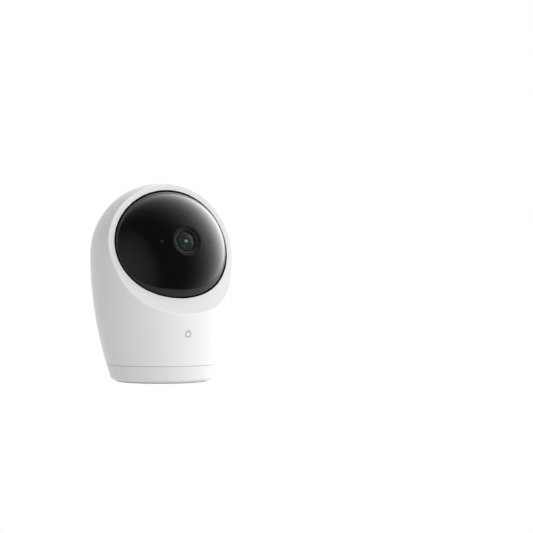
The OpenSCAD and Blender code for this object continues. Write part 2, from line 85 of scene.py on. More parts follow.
def mathNode(tree, operation, first, second):
    node = addNode(tree, "ShaderNodeMath", operation=operation)
    for index, value in enumerate((first, second)):
        if isinstance(value, (int, float)):
            node.inputs[index].default_value = value
        else:
            tree.links.new(value, node.inputs[index])
    return node.outputs[0]


def mixColour(tree, factor, first, second):
    node = addNode(tree, "ShaderNodeMix", data_type="RGBA")
    for index, value in ((0, factor), (6, first), (7, second)):
        if isinstance(value, (int, float, tuple)):
            node.inputs[index].default_value = value
        else:
            tree.links.new(value, node.inputs[index])
    return node.outputs[2]


def makeMouldGroup():
    # Moulded plastic: a fine spark-eroded grain, a slow drift of shade and a few faint rubs
    tree, given, made = groupNodes(
        "mouldedGrain",
        [("Colour", "NodeSocketColor", (0.8, 0.8, 0.8, 1)),
         ("Second colour", "NodeSocketColor", (0.7, 0.7, 0.7, 1)),
         ("Grain size", "NodeSocketFloat", 4000), ("Roughness", "NodeSocketFloat", 0.4),
         ("Roughness drift", "NodeSocketFloat", 0.1)],
        [("Colour", "NodeSocketColor"), ("Roughness", "NodeSocketFloat"), ("Height", "NodeSocketFloat")])
    place = addNode(tree, "ShaderNodeTexCoord").outputs["Object"]
    slow = addNode(tree, "ShaderNodeTexNoise", {0: place}, in_2=26, in_3=3)
    rubs = addNode(tree, "ShaderNodeTexNoise", {0: place}, in_2=160, in_3=6)
    grain = addNode(tree, "ShaderNodeTexNoise", {0: place, 2: given.outputs["Grain size"]}, in_3=2)
    tree.links.new(mixColour(tree, slow.outputs[0], given.outputs["Colour"], given.outputs["Second colour"]),
                   made.inputs["Colour"])
    drift = mathNode(tree, "MULTIPLY", mathNode(tree, "SUBTRACT", rubs.outputs[0], 0.5),
                     given.outputs["Roughness drift"])
    tree.links.new(mathNode(tree, "ADD", given.outputs["Roughness"], drift), made.inputs["Roughness"])
    tree.links.new(grain.outputs[0], made.inputs["Height"])
    return tree


def makeTurnedGroup():
    # Metal: fine brushed lines with a little tarnish
    tree, given, made = groupNodes(
        "brushedMetal",
        [("Colour", "NodeSocketColor", (0.6, 0.6, 0.6, 1)),
         ("Tarnish", "NodeSocketColor", (0.4, 0.4, 0.4, 1)),
         ("Roughness", "NodeSocketFloat", 0.3), ("Stretch", "NodeSocketVector", (1, 1, 12))],
        [("Colour", "NodeSocketColor"), ("Roughness", "NodeSocketFloat"), ("Height", "NodeSocketFloat")])
    place = addNode(tree, "ShaderNodeTexCoord").outputs["Object"]
    along = addNode(tree, "ShaderNodeMapping", {0: place, 3: given.outputs["Stretch"]})
    lines = addNode(tree, "ShaderNodeTexNoise", {0: along.outputs[0]}, in_2=900, in_3=4)
    spots = addNode(tree, "ShaderNodeTexNoise", {0: place}, in_2=240, in_3=5)
    tree.links.new(mixColour(tree, spots.outputs[0], given.outputs["Colour"], given.outputs["Tarnish"]),
                   made.inputs["Colour"])
    drift = mathNode(tree, "MULTIPLY", mathNode(tree, "SUBTRACT", lines.outputs[0], 0.5), 0.3)
    tree.links.new(mathNode(tree, "ADD", given.outputs["Roughness"], drift), made.inputs["Roughness"])
    tree.links.new(lines.outputs[0], made.inputs["Height"])
    return tree


mouldGroup = makeMouldGroup()
turnedGroup = makeTurnedGroup()


def startMaterial(name, **fixed):
    material = bpy.data.materials.new(name)
    material.use_nodes = True
    tree = material.node_tree
    shader = tree.nodes["Principled BSDF"]
    for key, value in fixed.items():
        shader.inputs[key.replace("_", " ")].default_value = value
    return material, tree, shader


def useGroup(tree, shader, group, values, bump, distance=0.02 * mm):
    node = tree.nodes.new("ShaderNodeGroup")
    node.node_tree = group
    for key, value in values.items():
        node.inputs[key].default_value = value
    tree.links.new(node.outputs["Colour"], shader.inputs["Base Color"])
    tree.links.new(node.outputs["Roughness"], shader.inputs["Roughness"])
    relief = addNode(tree, "ShaderNodeBump", {"Height": node.outputs["Height"]})
    relief.inputs["Strength"].default_value = bump
    relief.inputs["Distance"].default_value = distance
    tree.links.new(relief.outputs[0], shader.inputs["Normal"])
    return node


def grey(level, blue=0.0):
    return (level, level, level + blue, 1)


def mouldedMaterial(name, colour, second, roughness, drift=0.08, grain=4500, bump=0.25, **fixed):
    material, tree, shader = startMaterial(name, **fixed)
    useGroup(tree, shader, mouldGroup, {"Colour": colour, "Second colour": second, "Grain size": grain,
                                        "Roughness": roughness, "Roughness drift": drift}, bump)
    return material


def metalMaterial(name, colour, tarnish, roughness, stretch=(1, 1, 12)):
    material, tree, shader = startMaterial(name, Metallic=1.0)
    useGroup(tree, shader, turnedGroup, {"Colour": colour, "Tarnish": tarnish, "Roughness": roughness,
                                         "Stretch": stretch}, 0.2)
    return material


def boardMaterial():
    # Solder resist over copper tracks and pads
    material, tree, shader = startMaterial("solderResist", Coat_Weight=0.4, Coat_Roughness=0.2)
    place = addNode(tree, "ShaderNodeTexCoord").outputs["Object"]
    tracks = addNode(tree, "ShaderNodeTexBrick", {0: place}, in_4=900, in_5=0.08)
    fields = addNode(tree, "ShaderNodeTexVoronoi", {0: place}, feature="DISTANCE_TO_EDGE", in_2=420)
    edges = addNode(tree, "ShaderNodeValToRGB", {0: fields.outputs[0]})
    edges.color_ramp.elements[0].position = 0.03
    edges.color_ramp.elements[1].position = 0.06
    base = mixColour(tree, edges.outputs[0], (0.03, 0.16, 0.07, 1), (0.012, 0.09, 0.04, 1))
    tree.links.new(mixColour(tree, tracks.outputs[1], base, (0.05, 0.2, 0.09, 1)),
                   shader.inputs["Base Color"])
    relief = addNode(tree, "ShaderNodeBump", {"Height": tracks.outputs[1]})
    relief.inputs["Distance"].default_value = 0.03 * mm
    tree.links.new(relief.outputs[0], shader.inputs["Normal"])
    shader.inputs["Roughness"].default_value = 0.35
    return material


def glossBlackMaterial():
    # Polished black, with a trace of dust and cloudiness in its gloss
    material, tree, shader = startMaterial("glossBlack", IOR=1.5)
    place = addNode(tree, "ShaderNodeTexCoord").outputs["Object"]
    dust = addNode(tree, "ShaderNodeTexNoise", {0: place}, in_2=2600, in_3=2)
    specks = addNode(tree, "ShaderNodeValToRGB", {0: dust.outputs[0]})
    specks.color_ramp.elements[0].position = 0.7
    specks.color_ramp.elements[1].position = 0.8
    cloud = addNode(tree, "ShaderNodeTexNoise", {0: place}, in_2=60, in_3=4)
    tree.links.new(mixColour(tree, specks.outputs[0], (0.0008, 0.0008, 0.001, 1), (0.006, 0.006, 0.006, 1)),
                   shader.inputs["Base Color"])
    haze = mathNode(tree, "MULTIPLY", cloud.outputs[0], 0.06)
    haze = mathNode(tree, "ADD", haze, mathNode(tree, "MULTIPLY", specks.outputs[0], 0.1))
    tree.links.new(mathNode(tree, "ADD", haze, 0.07), shader.inputs["Roughness"])
    return material


def glassMaterial(name, tint, **fixed):
    material, tree, shader = startMaterial(name, IOR=1.52, Roughness=0.02, **fixed)
    place = addNode(tree, "ShaderNodeTexCoord").outputs["Object"]
    film = addNode(tree, "ShaderNodeTexNoise", {0: place}, in_2=150, in_3=2)
    tree.links.new(mixColour(tree, film.outputs[0], tint, tuple(0.93 * c for c in tint[:3]) + (1,)),
                   shader.inputs["Base Color"])
    return material


def coatedMaterial():
    # An inner lens: a teal coating that reflects most of what reaches it, under clear gloss
    material, tree, shader = startMaterial("innerGlass", Metallic=0.9, Roughness=0.42, Coat_Weight=1.0,
                                           Coat_Roughness=0.04)
    place = addNode(tree, "ShaderNodeTexCoord").outputs["Object"]
    film = addNode(tree, "ShaderNodeTexNoise", {0: place}, in_2=900, in_3=2)
    tree.links.new(mixColour(tree, film.outputs[0], (0.015, 0.22, 0.4, 1), (0.02, 0.28, 0.42, 1)),
                   shader.inputs["Base Color"])
    return material


finishes = {
    "shell": mouldedMaterial("whiteShell", grey(0.86), grey(0.84), 0.42, drift=0.06, bump=0.12),
    "base": mouldedMaterial("whiteBase", grey(0.83), grey(0.81), 0.45, drift=0.06, bump=0.12),
    "gloss": glossBlackMaterial(),
    "lensBlack": mouldedMaterial("lensBlack", grey(0.012), grey(0.009), 0.32, bump=0.1),
    "dark": mouldedMaterial("darkPlastic", grey(0.035), grey(0.028), 0.5),
    "acetal": mouldedMaterial("whiteAcetal", (0.78, 0.77, 0.72, 1), (0.72, 0.71, 0.66, 1), 0.38),
    "rubber": mouldedMaterial("footRubber", grey(0.5), grey(0.44), 0.75, bump=0.6, grain=2500),
    "steel": metalMaterial("platedSteel", (0.62, 0.62, 0.63, 1), (0.5, 0.5, 0.5, 1), 0.32),
    "brass": metalMaterial("turnedBrass", (0.74, 0.55, 0.25, 1), (0.58, 0.42, 0.2, 1), 0.3),
    "heat": metalMaterial("darkAnodised", (0.13, 0.13, 0.14, 1), (0.09, 0.09, 0.1, 1), 0.45),
    "board": boardMaterial(),
    "ribbon": mouldedMaterial("ribbonFilm", (0.7, 0.7, 0.73, 1), (0.6, 0.6, 0.66, 1), 0.35),
    "ring": mouldedMaterial("lightRing", grey(0.5), grey(0.47), 0.35),
    "glass": glassMaterial("frontGlass", (0.8, 0.77, 0.74, 1), Transmission_Weight=1.0,
                           Specular_IOR_Level=0.5, Specular_Tint=(0.75, 0.95, 1.0, 1)),
    "innerGlass": coatedMaterial(),
    # The inner lip is a little lighter than the bezel's black: a painted highlight ring, with a real lower
    # roughness
    "lip": mouldedMaterial("polishedLipPaintedHighlight", grey(0.018), grey(0.014), 0.22, bump=0.1),
    "outerLip": mouldedMaterial("dullLip", grey(0.012), grey(0.009), 0.28, bump=0.1),
    "led": mouldedMaterial("palePackage", grey(0.012), grey(0.009), 0.4),
}
print("materials made")

# Mesh helpers

def finishMesh(bm, name, turn=upright, sharp=35):
    bm.transform(turn)
    mesh = bpy.data.meshes.new(name)
    bm.to_mesh(mesh)
    bm.free()
    piece = bpy.data.objects.new(name, mesh)
    bpy.context.scene.collection.objects.link(piece)
    mesh.shade_smooth()
    mesh.set_sharp_from_angle(angle=math.radians(sharp))
    return piece


def dress(piece, finish, slot, body, *nodes):
    piece.data.materials.clear()
    piece.data.materials.append(finishes[finish])
    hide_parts(*nodes)
    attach(piece, body)
    return piece


def weld(bm, distance=0.002 * mm):
    bmesh.ops.remove_doubles(bm, verts=bm.verts, dist=distance)


def surfaceGrid(rows):
    # rows[i][j] is a point; the grid is closed along j
    across = len(rows[0])
    bm = bmesh.new()
    bmesh.ops.create_grid(bm, x_segments=across, y_segments=len(rows) - 1, size=1)
    bm.verts.ensure_lookup_table()
    for i, row in enumerate(rows):
        for j in range(across + 1):
            bm.verts[i * (across + 1) + j].co = row[j % across]
    return bm


def spinProfile(points, steps, axis="Z"):
    # points are (radius, height along the axis)
    bm = bmesh.new()
    if axis == "Z":
        verts = [bm.verts.new((r, 0, h)) for r, h in points]
    else:
        verts = [bm.verts.new((r, h, 0)) for r, h in points]
    edges = [bm.edges.new(pair) for pair in zip(verts, verts[1:])]
    bmesh.ops.spin(bm, geom=verts + edges, cent=(0, 0, 0), axis=(0, 0, 1) if axis == "Z" else (0, 1, 0),
                   angle=2 * math.pi, steps=steps, use_merge=True)
    weld(bm)
    bmesh.ops.recalc_face_normals(bm, faces=bm.faces)
    return bm


def arcPoints(centreR, centreH, radius, start, end, count):
    return [(centreR + radius * math.cos(math.radians(a)), centreH + radius * math.sin(math.radians(a)))
            for a in np.linspace(start, end, count)]


def bevelEdges(bm, edges, width, segments=3):
    bmesh.ops.bevel(bm, geom=edges, offset=width, offset_type="OFFSET", segments=segments, profile=0.5,
                    affect="EDGES", material=-1, clamp_overlap=True)


def cutAway(piece, tool, operation="DIFFERENCE"):
    cut = piece.modifiers.new("cut", "BOOLEAN")
    cut.operation = operation
    cut.solver = "EXACT"
    cut.object = tool
    graph = bpy.context.evaluated_depsgraph_get()
    mesh = bpy.data.meshes.new_from_object(piece.evaluated_get(graph))
    piece.modifiers.clear()
    old = piece.data
    mesh.name = old.name
    piece.data = mesh
    bpy.data.meshes.remove(old)
    bpy.data.objects.remove(tool)


def rods(name, spots, radius, segments=32):
    # spots are (start, end) points of straight round rods, joined in one object
    bm = bmesh.new()
    for start, end in spots:
        start, end = Vector(start), Vector(end)
        way = end - start
        turn = Matrix.Translation((start + end) / 2) @ way.to_track_quat("Z", "Y").to_matrix().to_4x4()
        bmesh.ops.create_cone(bm, cap_ends=True, segments=segments, radius1=radius, radius2=radius,
                              depth=way.length, matrix=turn)
    return finishMesh(bm, name)


def setSkinNormals(piece, field, sharp=35, near=0.01 * mm, sameWay=0.96):
    # On the skin, the normals come from the shape's own formula, so cuts leave no creases
    mesh = piece.data
    mesh.shade_smooth()
    mesh.set_sharp_from_angle(angle=math.radians(sharp))
    points = np.array([v.co for v in mesh.vertices])
    slopes = slopeOf(field, points)
    onSkin = np.abs(field(points)) < near
    normals = np.zeros((len(mesh.loops), 3))
    for face in mesh.polygons:
        way = np.array(face.normal)
        for loop in face.loop_indices:
            vertex = mesh.loops[loop].vertex_index
            if onSkin[vertex] and slopes[vertex] @ way > sameWay:
                normals[loop] = slopes[vertex]
    mesh.normals_split_custom_set([tuple(n) for n in normals])


def slopeOf(field, points, step=0.01 * mm):
    slope = np.stack([field(points + step * axis) - field(points - step * axis) for axis in np.eye(3)],
                     axis=1)
    return slope / np.linalg.norm(slope, axis=1, keepdims=True)


# Turning body: an egg with a cylindrical scoop taken out of its front

# A scoop is a cylinder across the body: its radius, and its middle's y and z. The skin's points lie where
# rays from inside, spread round the way to the opening, meet it.
body = {"flankR": 220 * mm, "wall": 2.4 * mm, "lip": 2 * mm, "ballGap": 0.6 * mm,
        "scoops": ((118 * mm, -124.3 * mm, 117 * mm), (100 * mm, -100.1 * mm, 118.8 * mm)), "blend": 1 * mm,
        "softTop": 0.5 * mm, "softFoot": 0.7 * mm, "softFrom": 92 * mm, "softTo": 44 * mm,
        "lipEdge": 0.35 * mm, "seamEdge": 0.15 * mm, "backSeam": 0.25 * mm,
        "raysFrom": (0, 2 * mm, 42 * mm), "opening": (0, -27 * mm, 80 * mm),
        "around": 288, "bandRows": 20, "skinRows": 84, "innerRows": 56}
grille = {"pitch": 2.3 * mm, "rings": 3, "holeR": 0.6 * mm, "steps": 20, "from": 20 * mm, "to": 50 * mm}
frontHoles = {"gap": 0.05 * mm, "micUp": 2.55 * mm, "micR": 0.3 * mm, "from": -50 * mm, "to": -28 * mm}


def flankR(z):
    return domeR - body["flankR"] + math.sqrt(body["flankR"] ** 2 - (z - centre.z) ** 2)


def eggField(p, inset=0.0):
    across = np.hypot(p[:, 0], p[:, 1])
    up = p[:, 2] - centre.z
    dome = np.hypot(across, up) - domeR
    flank = np.hypot(across - domeR + body["flankR"], up) - body["flankR"]
    return np.where(up >= 0, dome, flank) + inset


def scoopField(p, inset=0.0):
    # Two cylinders across the body, blended where they cross
    first, second = (np.hypot(p[:, 1] - y, p[:, 2] - z) - r for r, y, z in body["scoops"])
    overlap = np.maximum(body["blend"] - np.abs(first - second), 0)
    return inset - np.maximum(first, second) - overlap ** 2 / (4 * body["blend"])


def softRadius(p):
    share = np.clip((body["softFrom"] - p[:, 2]) / (body["softFrom"] - body["softTo"]), 0, 1)
    return body["softTop"] + (body["softFoot"] - body["softTop"]) * share * share * (3 - 2 * share)


def bodyField(p):
    # The egg and the scoop, with their shared edge rounded over
    soft = softRadius(p)
    a, b = eggField(p) + soft, scoopField(p) + soft
    return np.minimum(np.maximum(a, b), 0) + np.hypot(np.maximum(a, 0), np.maximum(b, 0)) - soft


def cavityField(p):
    reach = np.linalg.norm(p - np.array(centre), axis=1)
    ball = reach - ballR - body["ballGap"]
    room = np.maximum(eggField(p, body["wall"]), scoopField(p, body["lip"]))
    return np.minimum(ball, room)


def castRays(field, ways, reach=0.2, halvings=34):
    near, far = np.zeros(len(ways)), np.full(len(ways), reach)
    start = np.array(body["raysFrom"])
    for _ in range(halvings):
        middle = (near + far) / 2
        inside = field(start + ways * middle[:, None]) < 0
        near, far = np.where(inside, middle, near), np.where(inside, far, middle)
    return start + ways * far[:, None]


def bodyRows():
    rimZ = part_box("front_shell")[0].z
    toOpening = np.array(body["opening"]) - np.array(body["raysFrom"])
    toOpening /= np.linalg.norm(toOpening)
    side = np.array([1.0, 0, 0])
    up = np.cross(side, toOpening)
    turns = np.linspace(0, 2 * math.pi, body["around"], endpoint=False)
    outward = np.cos(turns)[:, None] * side + np.sin(turns)[:, None] * up

    def ways(angles):
        return np.cos(angles)[:, None] * toOpening + np.sin(angles)[:, None] * outward

    def findAngle(test, low, high, halvings=34):
        low, high = np.full(len(turns), low), np.full(len(turns), high)
        for _ in range(halvings):
            middle = (low + high) / 2
            before = test(middle)
            low, high = np.where(before, middle, low), np.where(before, high, middle)
        return high

    def sharpEgg(p):
        return np.maximum(eggField(p), scoopField(p))

    lipAngle = findAngle(lambda a: np.linalg.norm(castRays(sharpEgg, ways(a)) - np.array(centre), axis=1)
                         < ballR + body["ballGap"], 0.1, 2.2)
    edgeAngle = findAngle(lambda a: eggField(castRays(sharpEgg, ways(a))) < -1e-7, 0.1, 2.2)
    rimAngle = findAngle(lambda a: castRays(eggField, ways(a))[:, 2] > rimZ, 0.5, 3.1)
    innerRim = findAngle(lambda a: castRays(lambda p: eggField(p, body["wall"]), ways(a))[:, 2] > rimZ,
                         0.5, 3.1)
    rows = []
    for share in 1 - (1 - np.linspace(0, 1, body["bandRows"])) ** 1.5:
        rows.append(castRays(bodyField, ways(lipAngle + (edgeAngle - lipAngle) * share)))
    for share in np.linspace(0, 1, body["skinRows"])[1:] ** 1.5:
        rows.append(castRays(bodyField, ways(edgeAngle + (rimAngle - edgeAngle) * share)))
    inner = []
    for share in np.linspace(1, 0, body["innerRows"]):
        inner.append(castRays(cavityField, ways(lipAngle + (innerRim - lipAngle) * share ** 1.3)))
    inner[-1] = rows[0]
    return rows + inner, len(rows)


def makeBodySkin():
    rows, outerCount = bodyRows()
    bm = surfaceGrid(rows)
    mark = bm.verts.layers.int.new("ring")
    lipMark, rimMark = 1, 2
    across = body["around"] + 1
    bm.verts.ensure_lookup_table()
    for ring, row in ((lipMark, 0), (lipMark, len(rows) - 1), (rimMark, outerCount - 1)):
        for j in range(across):
            bm.verts[row * across + j][mark] = ring
    weld(bm, 0.0005 * mm)
    bmesh.ops.recalc_face_normals(bm, faces=bm.faces)
    lipRing = [e for e in bm.edges if e.verts[0][mark] == e.verts[1][mark] == lipMark]
    rimRing = [e for e in bm.edges if e.verts[0][mark] == e.verts[1][mark] == rimMark]
    bevelEdges(bm, lipRing, body["lipEdge"], 4)
    bevelEdges(bm, rimRing, body["seamEdge"], 3)
    return bm


def keepSide(bm, y, front):
    # Cuts the skin at a plane across Y and closes the cut face; the bevel stops short of the rim
    half = bm.copy()
    bmesh.ops.bisect_plane(half, geom=half.verts[:] + half.edges[:] + half.faces[:], dist=0.001 * mm,
                           plane_co=(0, y, 0), plane_no=(0, 1 if front else -1, 0), clear_outer=True)
    cut = [e for e in half.edges if e.is_boundary]
    filled = bmesh.ops.holes_fill(half, edges=cut, sides=0)["faces"]
    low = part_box("front_shell")[0].z + 1 * mm
    rim = [e for e in {e for f in filled for e in f.edges} if min(v.co.z for v in e.verts) > low]
    bmesh.ops.triangulate(half, faces=filled)
    bevelEdges(half, rim, body["backSeam"], 2)
    return half


def makeBody():
    skin = makeBodySkin()
    front = finishMesh(keepSide(skin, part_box("front_shell")[1].y, True), "frontShell")
    rear = finishMesh(keepSide(skin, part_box("rear_cover")[0].y, False), "rearCover")
    skin.free()
    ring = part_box("status_light_guide")
    ringZ = (ring[0].z + ring[1].z) / 2
    ringR = (ring[1].x - ring[0].x) / 2 + frontHoles["gap"]
    for name, z, radius, steps in (("ringHole", ringZ, ringR, 64),
                                   ("micHole", ringZ + frontHoles["micUp"], frontHoles["micR"], 32)):
        cutAway(front, rods(name, [((0, frontHoles["from"], z), (0, frontHoles["to"], z))], radius, steps))
    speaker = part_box("speaker")
    speakerZ = (speaker[0].z + speaker[1].z) / 2
    spots = [(0, speakerZ)]
    for k in range(1, grille["rings"] + 1):
        for a in np.linspace(0, 2 * math.pi, 6 * k, endpoint=False):
            spots.append((k * grille["pitch"] * math.cos(a), speakerZ + k * grille["pitch"] * math.sin(a)))
    holes = [((x, grille["from"], z), (x, grille["to"], z)) for x, z in spots]
    cutAway(rear, rods("grilleHoles", holes, grille["holeR"], grille["steps"]))
    setSkinNormals(front, bodyField)
    setSkinNormals(rear, bodyField)
    dress(front, "shell", "white_shell", "turning_body", "front_shell")
    dress(rear, "shell", "white_shell", "turning_body", "rear_cover")
    return front, rear


frontShell, rearCover = makeBody()
print("body made:", len(frontShell.data.polygons), len(rearCover.data.polygons))

# Status light: a grey ring round a white cap, flush with the front

light = {"line": 0.5 * mm, "proud": 0.03 * mm, "depth": 6 * mm, "edge": 0.08 * mm, "bent": 1 * mm}


def makeStatusLight():
    lo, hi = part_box("status_light_guide")
    radius = (hi.x - lo.x) / 2
    z = (lo.z + hi.z) / 2
    front = lo.y

    def followFront(bm):
        # Bends the flat front onto the body's skin
        for v in bm.verts:
            if v.co.y < front + light["bent"]:
                across = math.sqrt(flankR(v.co.z) ** 2 - v.co.x ** 2)
                v.co.y = -across - light["proud"] + (v.co.y - front)

    inner = radius - light["line"]
    e = light["edge"]
    ring = spinProfile([(inner, 0), (inner, -light["depth"] + e), (inner + e, -light["depth"]),
                        (radius - e, -light["depth"]), (radius, -light["depth"] + e), (radius, 0),
                        (inner, 0)],
                       96, "Y")
    cap = spinProfile([(0, 0), (inner - e, 0), (inner - e, -light["depth"] + e),
                       (inner - 2 * e, -light["depth"]),
                       (inner * 0.5, -light["depth"]), (0, -light["depth"])], 64, "Y")
    for bm, name, finish, slot, node in ((ring, "statusRing", "ring", "light_guide", "status_light_guide"),
                                         (cap, "statusCap", "shell", "white_shell", "status_light_cap")):
        bm.transform(Matrix.Translation((0, front + light["depth"], z)))
        followFront(bm)
        dress(finishMesh(bm, name), finish, slot, "turning_body", node)


makeStatusLight()

# Base ring, plate, foot and what shows on them

base = {"seam": 0.15 * mm, "cornerR": 3 * mm, "edge": 0.15 * mm, "steps": 256, "innerR": 27.2 * mm,
        "deck": 8 * mm,
        "spindleR": 6 * mm, "boreR": 4.2 * mm, "lead": 0.3 * mm, "buttonHoleR": 2 * mm}
# The recess for the power plug, with the walls that carry it inside the shell
recess = {"width": 12 * mm, "low": 3.5 * mm, "cornerR": 1.4 * mm, "middleY": 32 * mm, "deep": 18 * mm,
          "wall": 1 * mm, "wallsY": 26.7 * mm, "wallsZ": 5.6 * mm, "wallsDeep": 4.4 * mm,
          "wallsHigh": 5.2 * mm}


def makeBase():
    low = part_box("base_shell")[0].z
    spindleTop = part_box("base_shell")[1].z
    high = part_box("front_shell")[0].z - base["seam"]
    corner = base["cornerR"]
    reach = body["flankR"] - corner
    cornerZ = low + corner
    cornerX = domeR - body["flankR"] + math.sqrt(reach ** 2 - (centre.z - cornerZ) ** 2)
    tilt = math.degrees(math.asin((centre.z - cornerZ) / reach))
    e = base["edge"]
    edge = arcPoints(flankR(high) - e, high - e, e, 90, 8, 6)
    flankLow = cornerZ - corner * math.sin(math.radians(tilt))
    flank = [(flankR(z), z) for z in np.linspace(high - 1.2 * e, flankLow, 14)]
    foot = arcPoints(cornerX, cornerZ, corner, -tilt, -90, 16)[1:]
    profile = [(base["boreR"], base["deck"]), (base["boreR"], spindleTop), (base["spindleR"], spindleTop),
               (base["spindleR"], high), *edge, *flank, *foot, (base["innerR"] + base["lead"], low),
               (base["innerR"], low + base["lead"]), (base["innerR"], base["deck"]),
               (base["boreR"], base["deck"])]
    shell = finishMesh(spinProfile(profile, base["steps"]), "baseShell")
    bm = bmesh.new()
    bmesh.ops.create_cube(bm, size=1, matrix=Matrix.Translation((0, recess["wallsY"], recess["wallsZ"]))
                          @ Matrix.Diagonal((recess["width"] + 2 * recess["wall"], recess["wallsDeep"],
                                             recess["wallsHigh"], 1)))
    cutAway(shell, finishMesh(bm, "recessWalls"), "UNION")
    bm = bmesh.new()
    middleZ = (recess["low"] + base["deck"]) / 2
    bmesh.ops.create_cube(bm, size=1, matrix=Matrix.Translation((0, recess["middleY"], middleZ))
                          @ Matrix.Diagonal((recess["width"], recess["deep"],
                                             base["deck"] - recess["low"], 1)))
    lengthwise = [edge for edge in bm.edges if abs((edge.verts[0].co - edge.verts[1].co).y) > recess["wall"]]
    bevelEdges(bm, lengthwise, recess["cornerR"], 6)
    cutAway(shell, finishMesh(bm, "recess"))
    spots = []
    for joint in frame["joints"]:
        if joint["type"] == "slide":
            way = -Vector(joint["axis"])
            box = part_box(joint["child"])
            middle = (box[0].z + box[1].z) / 2
            spots.append([way * reach + Vector((0, 0, middle)) for reach in (26 * mm, 40 * mm)])
    cutAway(shell, rods("buttonHoles", spots, base["buttonHoleR"], 64))
    setSkinNormals(shell, eggField)
    dress(shell, "base", "white_shell", "base", "base_shell")


makeBase()


foot = {"innerR": 20 * mm, "soft": 0.4 * mm, "grooveFrom": 2 * mm, "pitch": 0.5 * mm, "deep": 0.12 * mm}


def makeFoot():
    lo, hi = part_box("foot_pad")
    outer, inner, top, soft = hi.x, foot["innerR"], hi.z, foot["soft"]
    groove = [(inner + foot["grooveFrom"] + k * foot["pitch"], foot["deep"] * (k % 2)) for k in range(5)]
    profile = [(inner, top), (inner, soft), *arcPoints(inner + soft, soft, soft, 180, 270, 6), *groove,
               *arcPoints(outer - soft, soft, soft, -90, 0, 6), (outer, top), (inner, top)]
    dress(finishMesh(spinProfile(profile, 192), "footRing"), "rubber", "foot_rubber", "base", "foot_pad")


makeFoot()


button = {"front": 31 * mm, "capR": 1.9 * mm, "soft": 0.4 * mm, "stemR": 1.1 * mm, "flangeR": 2 * mm,
          "back": 24.9 * mm, "flange": 25.9 * mm, "stop": 26.9 * mm}


def makeButtons():
    # A button's cap is dished a little, with a rounded edge
    for joint in frame["joints"]:
        if joint["type"] != "slide":
            continue
        node = joint["child"]
        lo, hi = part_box(node)
        way = -Vector(joint["axis"])
        front, r, soft = button["front"], button["capR"], button["soft"]
        profile = [(0, button["back"]), (button["stemR"], button["back"]),
                   (button["stemR"], button["flange"]),
                   (button["flangeR"], button["flange"]), (button["flangeR"], button["stop"]),
                   (r, button["stop"]), (r, front - soft),
                   *arcPoints(r - soft, front - soft, soft, 10, 90, 6),
                   (1.0 * mm, front - 0.06 * mm), (0.5 * mm, front - 0.12 * mm), (0, front - 0.14 * mm)]
        bm = spinProfile(profile, 64, "Y")
        middle = Matrix.Translation((0, 0, (lo.z + hi.z) / 2))
        turn = middle @ Matrix.Rotation(math.atan2(-way.x, way.y), 4, "Z")
        piece = finishMesh(bm, node.replace("_button", "Button"), turn)
        dress(piece, "base", "white_shell", node, node)


makeButtons()
print("base made")

# Camera ball

ball = {"wall": 2 * mm, "flatX": 34.5 * mm, "lensHoleR": 8.6 * mm, "edge": 0.25 * mm, "around": 240,
        "rows": 110,
        "eyeAngle": 23.4, "eyeR": 1.1 * mm, "split": 0.1 * mm, "overcut": 1 * mm, "leftPivotR": 4.2 * mm,
        "rightPivotR": 2.5 * mm}


def ballField(p):
    return np.linalg.norm(p - np.array(centre), axis=1) - ballR


def closeCut(bm, co, no):
    # Cuts off what lies past a plane and closes the cut
    bmesh.ops.bisect_plane(bm, geom=bm.verts[:] + bm.edges[:] + bm.faces[:], dist=0.0001 * mm,
                           plane_co=co, plane_no=no, clear_outer=True)
    bmesh.ops.holes_fill(bm, edges=[e for e in bm.edges if e.is_boundary], sides=0)


def ballSolid(name, radius, flat, split, side):
    # Half of a ball with a flat at either end of the tilt axis; side is 1 for the front half
    turns = np.linspace(0, math.pi, ball["rows"])
    bm = spinProfile([(radius * math.sin(a), -radius * math.cos(a)) for a in turns], ball["around"], "Y")
    for way in (-1, 1):
        closeCut(bm, (way * flat, 0, 0), (way, 0, 0))
    closeCut(bm, (0, -side * split, 0), (0, side, 0))
    bmesh.ops.recalc_face_normals(bm, faces=bm.faces)
    return finishMesh(bm, name, ballTurn)


def makeBall():
    halves = {}
    for name, side in (("ballFront", 1), ("ballRear", -1)):
        piece = ballSolid(name, ballR, ball["flatX"], ball["split"] / 2, side)
        cutAway(piece, ballSolid("room", ballR - ball["wall"], ball["flatX"] - ball["wall"], -ball["overcut"],
                                 side))
        for across, radius in ((-1, ball["leftPivotR"]), (1, ball["rightPivotR"])):
            ends = [ballTurn @ Vector((across * reach * mm, 0, 0)) for reach in (50, 20)]
            cutAway(piece, rods("pivotHole", [ends], radius, 64))
        halves[name] = piece
    front = halves["ballFront"]
    r, soft = ball["lensHoleR"], ball["edge"]
    rimY = -math.sqrt(ballR ** 2 - r ** 2)
    mouth = [(0, -30 * mm), (r, -30 * mm), *arcPoints(r + soft, rimY + soft, soft, 180, 270, 6),
             (r + 2 * soft, rimY - 0.2 * mm), (r + 2 * soft, -38 * mm), (0, -38 * mm)]
    cutAway(front, finishMesh(spinProfile(mouth, 192, "Y"), "lensMouth", ballTurn))
    eyes = []
    for side in (-1, 1):
        way = Matrix.Rotation(math.radians(side * ball["eyeAngle"]), 4, "Z") @ Vector((0, -1, 0))
        eyes.append((ballTurn @ (way * 50 * mm), ballTurn @ (way * 30 * mm)))
    cutAway(front, rods("eyeHoles", eyes, ball["eyeR"], 48))
    for name, node in (("ballFront", "ball_front"), ("ballRear", "ball_rear")):
        setSkinNormals(halves[name], ballField)
        dress(halves[name], "gloss", "gloss_black", "camera_ball", node)


makeBall()
print("ball made")

# Lens: a stepped bezel, the front glass, the dark throat behind it and the inner lens

